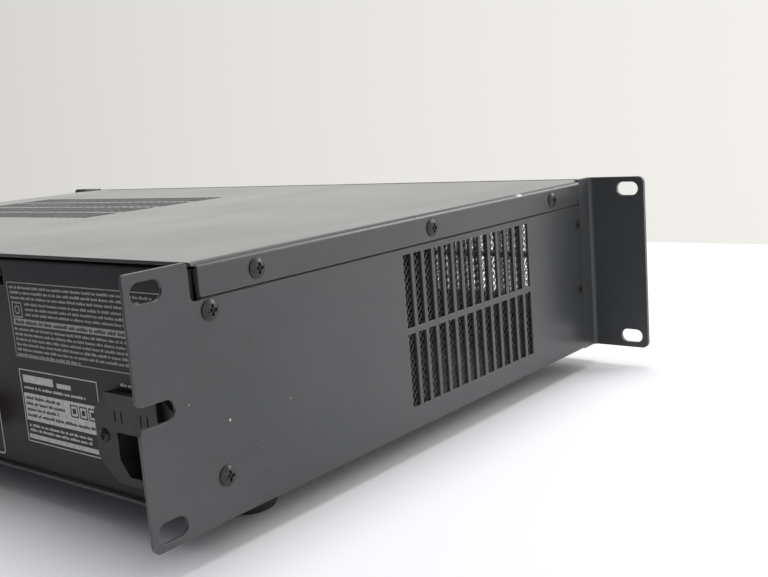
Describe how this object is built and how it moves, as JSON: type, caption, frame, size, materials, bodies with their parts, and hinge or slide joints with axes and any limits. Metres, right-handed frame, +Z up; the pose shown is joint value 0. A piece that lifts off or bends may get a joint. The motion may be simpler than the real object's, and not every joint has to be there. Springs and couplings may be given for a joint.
{
  "type": "power amplifier",
  "caption": "Two-unit 19 inch rack power amplifier: slotted steel case with rack ears and rear rack support, level knobs, rocker, fan, mains inlet, speaker and input sockets.",
  "frame": {"origin": "middle of the bounding box, on the surface under the feet", "axes": "+X to the right seen from the front, +Y to the rear, +Z up"},
  "size_m": [0.4826, 0.3134, 0.098],
  "materials": {
    "powder_coat": "satin black powder coat, fine texture",
    "fascia_paint": "satin black",
    "zinc_sheet": "zinc-plated sheet",
    "mesh_black": "black expanded mesh",
    "screw_black": "black oxide",
    "foot_rubber": "matt",
    "moulded_black": "fine moulded texture",
    "switch_plastic": "satin",
    "knob_plastic": "satin",
    "latch_plastic": "satin",
    "red_plastic": "moulded",
    "black_plastic": "moulded",
    "plated_metal": "nickel plate",
    "fuse_glass": "clear",
    "bare_aluminium": "mill finish",
    "winding_tape": "polyester tape",
    "board_green": "solder mask",
    "brass": "turned",
    "lens_plastic": "tinted"
  },
  "bodies": {
    "chassis": {"amplifier_boards": "board_green", "base_pan": "powder_coat", "base_screws": "screw_black", "binding_post_bases": "moulded_black", "binding_post_studs": "plated_metal", "board_standoffs": "brass", "control_boards": "board_green", "cover_screws": "screw_black", "ear_screws": "screw_black", "fan_frame": "moulded_black", "fan_guard": "plated_metal", "fascia_screws": "screw_black", "foot_screws": "screw_black", "front_fascia": "fascia_paint", "front_subpanel": "zinc_sheet", "front_vent_meshes": "mesh_black", "led_lenses": "lens_plastic", "left_ear_bracket": "powder_coat", "left_heatsink": "bare_aluminium", "left_side_plate": "powder_coat", "left_vent_mesh": "mesh_black", "level_pots": "plated_metal", "mains_inlet": "moulded_black", "mains_pins": "plated_metal", "output_transistors": "moulded_black", "rear_panel": "powder_coat", "rear_screws": "screw_black", "reservoir_capacitors": "moulded_black", "right_ear_bracket": "powder_coat", "right_heatsink": "bare_aluminium", "right_side_plate": "powder_coat", "right_vent_mesh": "mesh_black", "rocker_housing": "moulded_black", "rubber_feet": "foot_rubber", "side_screws": "screw_black", "signal_contacts": "plated_metal", "slide_switch_bodies": "moulded_black", "speaker_sockets": "moulded_black", "supply_board": "board_green", "top_cover": "powder_coat", "top_vent_mesh": "mesh_black", "toroid_transformer": "winding_tape", "transformer_bolt": "plated_metal", "transformer_pads": "foot_rubber", "transformer_washer": "zinc_sheet", "xlr_sockets": "moulded_black"},
    "power_rocker": {"rocker_paddle": "switch_plastic"},
    "level_knob_a": {"level_knob_a": "knob_plastic"},
    "level_knob_b": {"level_knob_b": "knob_plastic"},
    "fan_rotor": {"fan_impeller": "moulded_black"},
    "fuse_drawer": {"fuse_drawer": "moulded_black", "fuse": "fuse_glass"},
    "xlr_latch_a": {"xlr_latch_a": "latch_plastic"},
    "xlr_latch_b": {"xlr_latch_b": "latch_plastic"},
    "mode_slider": {"mode_slider": "switch_plastic"},
    "ground_lift_slider": {"ground_lift_slider": "switch_plastic"},
    "post_cap_red_a": {"post_cap_red_a": "red_plastic"},
    "post_cap_black_a": {"post_cap_black_a": "black_plastic"},
    "post_cap_red_b": {"post_cap_red_b": "red_plastic"},
    "post_cap_black_b": {"post_cap_black_b": "black_plastic"}
  },
  "joints": [
    {"name": "power_rocker_tip", "type": "hinge", "parent": "chassis", "child": "power_rocker", "pos_m": [0.06, -0.1392, 0.054], "axis": [1, 0, 0], "range_deg": [-16, 0]},
    {"name": "level_knob_a_turn", "type": "hinge", "parent": "chassis", "child": "level_knob_a", "pos_m": [-0.07, -0.1482, 0.054], "axis": [0, -1, 0], "range_deg": [-150, 150]},
    {"name": "level_knob_b_turn", "type": "hinge", "parent": "chassis", "child": "level_knob_b", "pos_m": [-0.01, -0.1482, 0.054], "axis": [0, -1, 0], "range_deg": [-150, 150]},
    {"name": "fan_spin", "type": "hinge", "parent": "chassis", "child": "fan_rotor", "pos_m": [0.083, 0.1168, 0.054], "axis": [0, 1, 0], "continuous": true},
    {"name": "fuse_drawer_slide", "type": "slide", "parent": "chassis", "child": "fuse_drawer", "axis": [0, 1, 0], "range_m": [0, 0.018]},
    {"name": "xlr_latch_a_press", "type": "slide", "parent": "chassis", "child": "xlr_latch_a", "axis": [0, -1, 0], "range_m": [0, 0.0015], "stiffness_N_per_m": 400},
    {"name": "xlr_latch_b_press", "type": "slide", "parent": "chassis", "child": "xlr_latch_b", "axis": [0, -1, 0], "range_m": [0, 0.0015], "stiffness_N_per_m": 400},
    {"name": "mode_slide", "type": "slide", "parent": "chassis", "child": "mode_slider", "axis": [1, 0, 0], "range_m": [-0.004, 0.004]},
    {"name": "ground_lift_slide", "type": "slide", "parent": "chassis", "child": "ground_lift_slider", "axis": [1, 0, 0], "range_m": [0, 0.008]},
    {"name": "post_cap_red_a_unscrew", "type": "slide", "parent": "chassis", "child": "post_cap_red_a", "axis": [0, 1, 0], "range_m": [0, 0.005]},
    {"name": "post_cap_black_a_unscrew", "type": "slide", "parent": "chassis", "child": "post_cap_black_a", "axis": [0, 1, 0], "range_m": [0, 0.005]},
    {"name": "post_cap_red_b_unscrew", "type": "slide", "parent": "chassis", "child": "post_cap_red_b", "axis": [0, 1, 0], "range_m": [0, 0.005]},
    {"name": "post_cap_black_b_unscrew", "type": "slide", "parent": "chassis", "child": "post_cap_black_b", "axis": [0, 1, 0], "range_m": [0, 0.005]}
  ]
}
